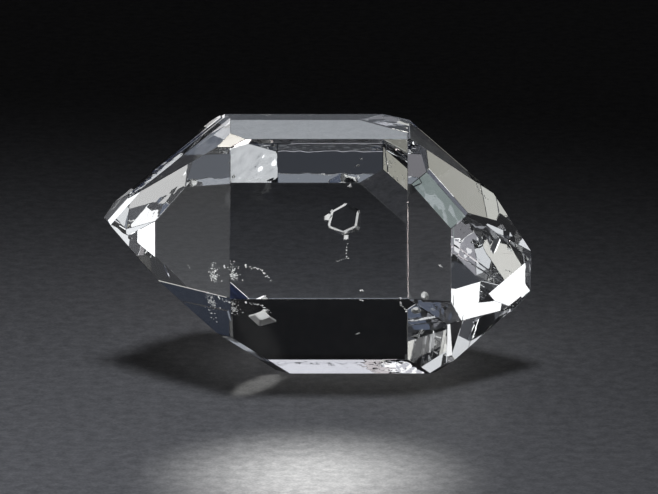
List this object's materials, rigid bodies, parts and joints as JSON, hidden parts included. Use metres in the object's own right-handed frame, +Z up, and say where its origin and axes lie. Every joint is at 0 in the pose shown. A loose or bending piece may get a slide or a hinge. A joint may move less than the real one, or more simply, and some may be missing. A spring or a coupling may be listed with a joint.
{
  "type": "herkimer diamond",
  "caption": "Clear double-pointed quartz crystal, a herkimer diamond, lying on a flat side face, with small growth steps near its tips.",
  "frame": {"origin": "centre of the bounding box's base, on the surface the crystal rests on", "axes": "+X along the crystal's long (c) axis towards its blunter point, +Y to the back, +Z up from the resting face"},
  "size_m": [0.0182, 0.0104, 0.0099],
  "materials": {
    "quartz": "clear natural crystal faces with a bright glassy shine"
  },
  "bodies": {
    "root": {"crystal": "quartz"}
  },
  "joints": []
}
